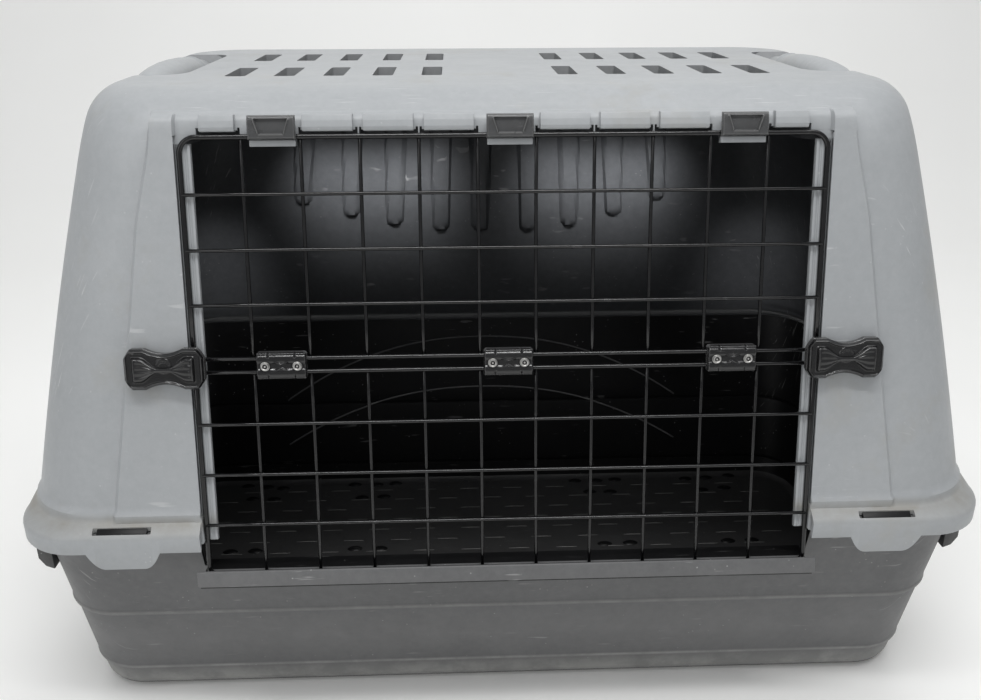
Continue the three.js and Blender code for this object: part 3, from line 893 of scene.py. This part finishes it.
def top_front(x, s, v):
    """Front of a top clip about its centre: a bar at the head, a tapering thumb recess below it."""
    d = -9.2
    d += 3.4 * (1 - math.sqrt(max(0.0, 1 - max(0.0, (s - 3.0) / 7.8) ** 2)))
    edge = 15.2 - 3.6 * float(np.clip((6.5 - s) / 11, 0, 1))
    within = 1 - float(smoothstep(edge - 1.5, edge + 0.5, abs(x)))
    tall = float(smoothstep(-6.8, -5.2, s)) * (1 - float(smoothstep(6.3, 7.6, s)))
    d += within * tall * (2.0 + 0.8 * float(smoothstep(-3.0, 6.0, s)))
    d -= 2.3 * ridge(abs(x) - edge, 1.4) * tall
    d -= 1.1 * ridge(s + 6.6, 1.3) * within
    rim = min(21.5 - abs(x), 10.6 - abs(s))
    d += 2.2 * (1 - float(smoothstep(0, 1.5, rim))) ** 1.5
    return d


def top_clip(name, x):
    """A clip over the door's top wire, with the leg that holds it in the hook."""
    turn = DOOR @ Matrix.Translation((x, 0, TOP + 8.1))
    body = relief("body", 21.2, lambda q: 10.6, top_front, PANEL - 0.3, 84, 42, turn)
    leg = bevel(block("leg", x - 9, x + 9, -4, 2.5, TOP + 7.9, TOP + 10.9, DOOR), 0.5)
    return join(name, [body, leg])


# ---------------------------------------------------------------- materials
class Nodes:
    """Short names for building one material's nodes."""

    def __init__(self, name):
        self.mat = bpy.data.materials.new(name)
        self.mat.use_nodes = True
        self.tree = self.mat.node_tree
        self.shader = self.tree.nodes["Principled BSDF"]
        self.coord = self.tree.nodes.new("ShaderNodeTexCoord").outputs["Object"]
        self.height = self.add("ShaderNodeSeparateXYZ", Vector=self.coord).outputs["Z"]

    def add(self, kind, **inputs):
        node = self.tree.nodes.new(kind)
        for key, value in inputs.items():
            self.put(node.inputs[key], value)
        return node

    def put(self, socket, value):
        if isinstance(value, bpy.types.NodeSocket):
            self.tree.links.new(value, socket)
        else:
            socket.default_value = value

    def noise(self, scale, detail=4.0, rough=0.55, stretch=None, spin=(0, 0, 0)):
        vector = self.coord
        if stretch is not None:
            mapping = self.add("ShaderNodeMapping", Vector=vector, Scale=stretch, Rotation=spin)
            vector = mapping.outputs["Vector"]
        node = self.add("ShaderNodeTexNoise", Vector=vector, Scale=scale, Detail=detail, Roughness=rough)
        return node.outputs["Fac"]

    def ramp(self, fac, stops):
        node = self.add("ShaderNodeValToRGB", Fac=fac)
        ramp = node.color_ramp
        while len(ramp.elements) < len(stops):
            ramp.elements.new(0.5)
        for element, (place, value) in zip(ramp.elements, stops):
            element.position = place
            element.color = (*value, 1) if isinstance(value, tuple) else (value, value, value, 1)
        return node.outputs["Color"]

    def mix(self, fac, a, b):
        node = self.tree.nodes.new("ShaderNodeMix")
        node.data_type = "RGBA"
        self.put(node.inputs[0], fac)
        self.put(node.inputs[6], (*a, 1) if isinstance(a, tuple) else a)
        self.put(node.inputs[7], (*b, 1) if isinstance(b, tuple) else b)
        return node.outputs[2]

    def math(self, operation, a, b):
        node = self.tree.nodes.new("ShaderNodeMath")
        node.operation = operation
        self.put(node.inputs[0], a)
        self.put(node.inputs[1], b)
        return node.outputs[0]

    def spread(self, fac, low, high):
        node = self.add("ShaderNodeMapRange", Value=fac)
        node.inputs["To Min"].default_value = low
        node.inputs["To Max"].default_value = high
        return node.outputs["Result"]

    def surface(self, colour, rough):
        self.put(self.shader.inputs["Base Color"], colour)
        self.put(self.shader.inputs["Roughness"], rough)

    def bump(self, height, strength, distance):
        node = self.add("ShaderNodeBump", Height=height, Strength=strength, Distance=distance)
        self.put(self.shader.inputs["Normal"], node.outputs["Normal"])


def scratches(n, scale, spin, low, high):
    """Thin broken lines, 0 to 1."""
    lines = n.noise(scale, 2.0, 0.5, (2.4, 90.0, 3.2), spin)
    return n.ramp(lines, [(low, 0.0), (high, 1.0)])


def moulded(
    name, dark, light, rough, scuff, scuff_share, grain, specks,
    shine=0.5, bands=(), stain=None, worn=0.0,
):
    """Moulded plastic between a dark and a light colour, with scratches and dust in the scuff colour.

    bands are (height, reach, colour, share) in metres, for painted highlights on beads, painted bounce light
    low on a wall and soiled edges; worn lightens sharp edges.
    """
    n = Nodes(name)
    drift = n.noise(5.0, 5.0, 0.6)
    mottle = n.noise(110.0, 5.0, 0.7)
    both = n.math("ADD", n.math("MULTIPLY", drift, 0.5), n.math("MULTIPLY", mottle, 0.5))
    colour = n.ramp(both, [(0.32, dark), (0.68, light)])
    fine = scratches(n, 9.0, (0.3, 0.5, 0.9), 0.68, 0.72)
    cross = scratches(n, 7.0, (1.2, 0.2, -0.7), 0.70, 0.74)
    patch = n.ramp(n.noise(11.0, 3.0, 0.6), [(0.46, 0.0), (0.62, 1.0)])
    lines = n.math("MULTIPLY", n.math("MAXIMUM", fine, cross), patch)
    lines = n.math("MULTIPLY", lines, scuff_share)
    colour = n.mix(lines, colour, scuff)
    dots = n.add("ShaderNodeTexVoronoi", Vector=n.coord, Scale=120.0, Randomness=1.0).outputs["Distance"]
    dots = n.ramp(dots, [(0.07, 1.0), (0.12, 0.0)])
    thin = n.ramp(n.noise(35.0, 2.0), [(0.52, 0.0), (0.62, 1.0)])
    dust = n.math("MULTIPLY", n.math("MULTIPLY", dots, thin), specks)
    colour = n.mix(dust, colour, scuff)
    # Each band mixes its colour into a height range: painted highlights and painted bounce light on the tray,
    # soil on the roof's ledge.
    for height, reach, tint, share in bands:
        apart = n.math("ABSOLUTE", n.math("SUBTRACT", n.height, height), 0.0)
        near = n.math("SUBTRACT", 1.0, n.math("MINIMUM", n.math("DIVIDE", apart, reach), 1.0))
        blotch = n.ramp(n.noise(28.0, 4.0, 0.65), [(0.42, 0.0), (0.62, 1.0)])
        uneven = n.math("ADD", n.math("MULTIPLY", blotch, 0.45), 0.55)
        near = n.math("MULTIPLY", n.math("MULTIPLY", near, uneven), share)
        colour = n.mix(near, colour, tint)
    if worn:
        convex = n.add("ShaderNodeNewGeometry").outputs["Pointiness"]
        edges = n.ramp(convex, [(0.515, 0.0), (0.60, 1.0)])
        colour = n.mix(n.math("MULTIPLY", edges, worn), colour, scuff)
    if stain:
        spots = n.ramp(n.noise(8.0, 5.0, 0.7), [(0.56, 0.0), (0.70, 1.0)])
        colour = n.mix(n.math("MULTIPLY", spots, 0.45), colour, stain)
    polish = n.spread(n.noise(22.0, 5.0, 0.65), rough - 0.14, rough + 0.14)
    n.surface(colour, n.math("ADD", polish, n.math("MULTIPLY", lines, 0.15)))
    n.shader.inputs["Specular IOR Level"].default_value = shine
    n.bump(n.math("ADD", n.noise(900.0, 2.0, 0.5), n.math("MULTIPLY", lines, -1.5)), grain, 0.0006)
    return n.mat


def coated_wire():
    """Glossy black coating: slightly uneven, with faint rubbed places."""
    n = Nodes("coated_wire")
    rub = n.ramp(n.noise(60.0, 4.0, 0.6), [(0.62, 0.0), (0.74, 1.0)])
    colour = n.ramp(n.noise(25.0, 4.0), [(0.35, (0.003, 0.003, 0.0035)), (0.7, (0.008, 0.008, 0.0085))])
    colour = n.mix(n.math("MULTIPLY", rub, 0.35), colour, (0.07, 0.07, 0.072))
    n.surface(colour, n.spread(n.noise(40.0, 4.0), 0.07, 0.17))
    n.shader.inputs["Specular IOR Level"].default_value = 0.55
    n.bump(n.noise(500.0, 3.0), 0.15, 0.0004)
    return n.mat


def screw_steel():
    """Zinc-plated steel with turned rings and a little dulling."""
    n = Nodes("screw_steel")
    colour = n.ramp(n.noise(300.0, 4.0), [(0.3, (0.55, 0.54, 0.52)), (0.7, (0.82, 0.81, 0.79))])
    n.surface(colour, n.spread(n.noise(260.0, 3.0), 0.22, 0.42))
    n.shader.inputs["Metallic"].default_value = 1.0
    n.bump(n.noise(1500.0, 2.0), 0.2, 0.0002)
    return n.mat


def pale_floor():
    """The stage's matt off-white, with a trace of its own light."""
    n = Nodes("pale_floor")
    colour = n.ramp(n.noise(3.0, 4.0, 0.5), [(0.3, (0.955, 0.955, 0.94)), (0.7, (0.975, 0.975, 0.96))])
    n.surface(colour, n.spread(n.noise(30.0, 3.0), 0.45, 0.6))
    n.shader.inputs["Emission Color"].default_value = (1.0, 1.0, 0.985, 1)
    n.shader.inputs["Emission Strength"].default_value = 0.04
    return n.mat


def grey(level):
    return (level, level, level)


ROOF = moulded(
    "roof_plastic", (0.335, 0.350, 0.362), (0.395, 0.410, 0.422), 0.44, (0.62, 0.63, 0.63), 0.6, 0.10, 0.35,
    bands=((0.2635, 0.011, (0.25, 0.235, 0.20), 0.75),),
    stain=(0.335, 0.325, 0.295),
)
# Painted shade: a darker copy of the roof plastic for the inner faces of the roof and of the hand recesses'
# liners.
ROOF_INSIDE_SHADE = moulded(
    "roof_inside_painted_shade", (0.048, 0.050, 0.054), (0.074, 0.077, 0.082), 0.50, grey(0.3), 0.4, 0.10, 0.35, shine=0.3
)
# Painted shade: a darker copy of the roof plastic for the hand recesses' walls and the vents' walls and
# collars.
ROOF_RECESS_SHADE = moulded(
    "roof_recess_painted_shade", (0.20, 0.207, 0.213), (0.26, 0.268, 0.275), 0.5, grey(0.5), 0.5, 0.10, 0.3
)
# The tray's bands are painted light: the lighter lines on the two beads are painted highlights, and the
# lighter foot and lower wall are painted bounce light from the floor.
TRAY = moulded(
    "tray_plastic", (0.090, 0.091, 0.093), (0.128, 0.129, 0.131), 0.48, grey(0.32), 0.55, 0.14, 0.75,
    bands=(
        (0.1325, 0.0028, (0.30, 0.30, 0.29), 0.6),
        (0.0405, 0.0026, (0.34, 0.34, 0.33), 0.7),
        (0.016, 0.026, (0.30, 0.30, 0.29), 1.0),
        (0.085, 0.05, grey(0.18), 0.5),
    ),
)
# Painted shade: the tray plastic darkened almost to black for the tray's inside faces and top edges, the snap
# tongues, the channel under the sill lip and the floor bumps.
TRAY_INSIDE_SHADE = moulded(
    "tray_inside_painted_shade", (0.005, 0.005, 0.0055), (0.010, 0.010, 0.0105), 0.42, grey(0.22), 0.5, 0.14, 0.9, shine=0.25
)
# Painted light: a lighter copy of the tray plastic for the sill lip's face and the channel's back edge, as
# painted highlights.
TRAY_LIP_LIGHT = moulded(
    "tray_lip_painted_light", (0.105, 0.106, 0.108), (0.150, 0.151, 0.153), 0.45, grey(0.36), 0.6, 0.14, 0.9
)
# Painted shade: a darker copy of the tray plastic for the cabin floor, its fillet and the rim webs.
TRAY_FLOOR_SHADE = moulded(
    "tray_floor_painted_shade", (0.045, 0.045, 0.0455), (0.066, 0.066, 0.0665), 0.38, grey(0.22), 0.5, 0.14, 0.9
)
CLIP = moulded(
    "clip_plastic", (0.050, 0.051, 0.052), (0.080, 0.081, 0.083), 0.28, grey(0.25), 0.4, 0.08, 0.2, worn=0.7
)
LATCH = moulded(
    "latch_plastic", (0.004, 0.004, 0.0045), (0.012, 0.012, 0.0125), 0.18, grey(0.16), 0.4, 0.08, 0.3,
    shine=0.6, worn=0.6,
)
WIRE = coated_wire()
STEEL = screw_steel()
FLOOR = pale_floor()


def finish_piece(obj, mat, slot, body, *nodes, others=()):
    """Gives the piece its materials, its body and the CAD nodes it stands for."""
    marks = [f.material_index for f in obj.data.polygons]
    obj.data.materials.clear()
    for m in (mat, *others):
        obj.data.materials.append(m)
    for f, index in zip(obj.data.polygons, marks):
        f.material_index = index if index <= len(others) else 0
    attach(obj, body)
    if nodes:
        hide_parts(*nodes)
    return obj


# ---------------------------------------------------------------- pieces
roof = roof_shell()
roof.name = "roof_moulding"
# Slot 1 holds painted shade for the roof's inside, slot 2 painted shade for the hand recesses and vents.
finish_piece(roof, ROOF, "roof_plastic", "roof", "roof_shell", others=(ROOF_INSIDE_SHADE, ROOF_RECESS_SHADE))
trim = roof_trim()
finish_piece(trim, ROOF, "roof_plastic", "roof")
for side, word in ((-1, "left"), (1, "right")):
    finish_piece(grip(side), ROOF, "roof_plastic", "roof", word + "_grip")

tray = tray_shell()
# Slot 1 holds painted shade for the inside, slot 2 painted shade for the floor and webs, slot 3 painted light
# for the sill lip.
finish_piece(tray, TRAY, "tray_plastic", "tray", "base_shell", others=(TRAY_INSIDE_SHADE, TRAY_FLOOR_SHADE, TRAY_LIP_LIGHT))
# The floor bumps take the painted-shade inside colour, darker than the floor round them.
finish_piece(floor_spots(), TRAY_INSIDE_SHADE, "tray_plastic", "tray")
# The dashes and wall arcs keep the tray's outer plastic, lighter than the painted-shade floor and wall round
# them: painted highlights on their tops.
finish_piece(floor_dashes(), TRAY, "tray_plastic", "tray")
finish_piece(wall_arcs(), TRAY, "tray_plastic", "tray")

finish_piece(door_half("upper_wires", 1), WIRE, "coated_wire", "upper_door", "upper_door_grille")
finish_piece(door_half("lower_wires", -1), WIRE, "coated_wire", "lower_door", "lower_door_grille")

for x, word in zip(CLIP_XS, ("left", "centre", "right")):
    front, back = fold_clip(x, word + "_fold_half")
    finish_piece(front, LATCH, "latch_plastic", "upper_door", word + "_fold_clip_front")
    finish_piece(back, LATCH, "latch_plastic", "upper_door", word + "_fold_clip_back")
    for dx, hand in ((-15, "a"), (15, "b")):
        screw = fold_screw(f"{word}_socket_screw_{hand}", x + dx)
        finish_piece(screw, STEEL, "screw_steel", "upper_door", f"{word}_fold_screw_{hand}")
    clip = top_clip(word + "_wire_clip", x + CLIP_SHIFT)
    finish_piece(clip, CLIP, "clip_plastic", "roof", word + "_top_clip")

for side, word in ((-1, "left"), (1, "right")):
    piece = latch(word + "_turn_knob", side * LATCH_X)
    finish_piece(piece, LATCH, "latch_plastic", word + "_turn_latch", word + "_latch")
    for node in (word + "_latch_screw", word + "_latch_washer"):
        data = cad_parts[node].data
        data.materials.clear()
        data.materials.append(STEEL)


# ---------------------------------------------------------------- stage, lights, camera
def stage():
    """A pale floor that curves up into a pale wall far behind."""
    start, bend = 1.4, 1.2
    profile = [(-14.0, 0), (start, 0)]
    for a in np.linspace(0.1, math.pi / 2, 14):
        profile.append((start + bend * math.sin(a), bend - bend * math.cos(a)))
    profile.append((start + bend, 6.0))
    verts = [(x, y, z) for y, z in profile for x in (-12.0, 12.0)]
    faces = [(2 * i, 2 * i + 1, 2 * i + 3, 2 * i + 2) for i in range(len(profile) - 1)]
    data = bpy.data.meshes.new("studio_floor")
    data.from_pydata(verts, [], faces)
    obj = bpy.data.objects.new("studio_floor", data)
    bpy.context.scene.collection.objects.link(obj)
    data.materials.append(FLOOR)
    for f in data.polygons:
        f.use_smooth = True
    obj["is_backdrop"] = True


def area_light(name, place, aim, size, power, unseen=False, spread=math.pi):
    """A rectangular lamp at place that shines towards aim; places in metres, power in watts."""
    light = bpy.data.lights.new(name, "AREA")
    light.shape = "RECTANGLE"
    light.size, light.size_y = size
    light.energy = power
    light.spread = spread
    obj = bpy.data.objects.new(name, light)
    obj.location = place
    obj.rotation_euler = (Vector(aim) - Vector(place)).to_track_quat("-Z", "Y").to_euler()
    obj.visible_camera = not unseen
    obj.visible_glossy = not unseen
    bpy.context.scene.collection.objects.link(obj)


stage()
area_light("ceiling", (0.4, -0.7, 2.9), (0, -0.1, 0.3), (3.0, 2.0), 34)
area_light("window", (-2.2, -2.4, 1.8), (0, 0, 0.35), (1.6, 1.6), 12)
area_light("backdrop", (0.0, 1.6, 2.9), (0, 2.2, 0.3), (4.0, 1.4), 11)
area_light("strip", (-0.1, -1.0, 2.4), (0, -0.2, 0.4), (1.5, 0.20), 18)
# Weak lamps inside the cabin, for the daylight that comes through the vents on to the back wall.
glow = {"unseen": True, "spread": 0.8}
for side in (-1, 1):
    place, aim = (side * 0.16, 0.13, 0.575), (side * 0.16, 0.262, 0.468)
    area_light("vent_glow", place, aim, (0.20, 0.03), 0.15, **glow)
    place, aim = (side * 0.34, 0.10, 0.52), (side * 0.385, 0.22, 0.37)
    area_light("corner_glow", place, aim, (0.05, 0.03), 0.035, **glow)
world = bpy.data.worlds.new("studio_air")
world.use_nodes = True
world.node_tree.nodes["Background"].inputs["Color"].default_value = (0.97, 0.98, 1.0, 1)
world.node_tree.nodes["Background"].inputs["Strength"].default_value = 0.35
bpy.context.scene.world = world
bpy.context.scene.view_settings.view_transform = "Standard"

# Metres and degrees: tilt up from straight down, lean to one side, turn to the left or right.
CAMERA_PLACE = (-0.0476, -1.0778, 0.7687)
CAMERA_TILT = 67.456
CAMERA_ROLL = 0.106
CAMERA_PAN = -2.183
camera_data = bpy.data.cameras.new("camera")
camera_data.sensor_width = 36
camera_data.sensor_fit = "HORIZONTAL"
camera_data.lens = 34.594
camera = bpy.data.objects.new("camera", camera_data)
camera.location = CAMERA_PLACE
camera.rotation_euler = [math.radians(angle) for angle in (CAMERA_TILT, CAMERA_ROLL, CAMERA_PAN)]
bpy.context.scene.collection.objects.link(camera)
bpy.context.scene.camera = camera


def as_list(value):
    return [as_list(v) for v in value] if hasattr(value, "__len__") else float(value)


{"at_load": as_list(size_at_load), "before_finish": as_list(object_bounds())}
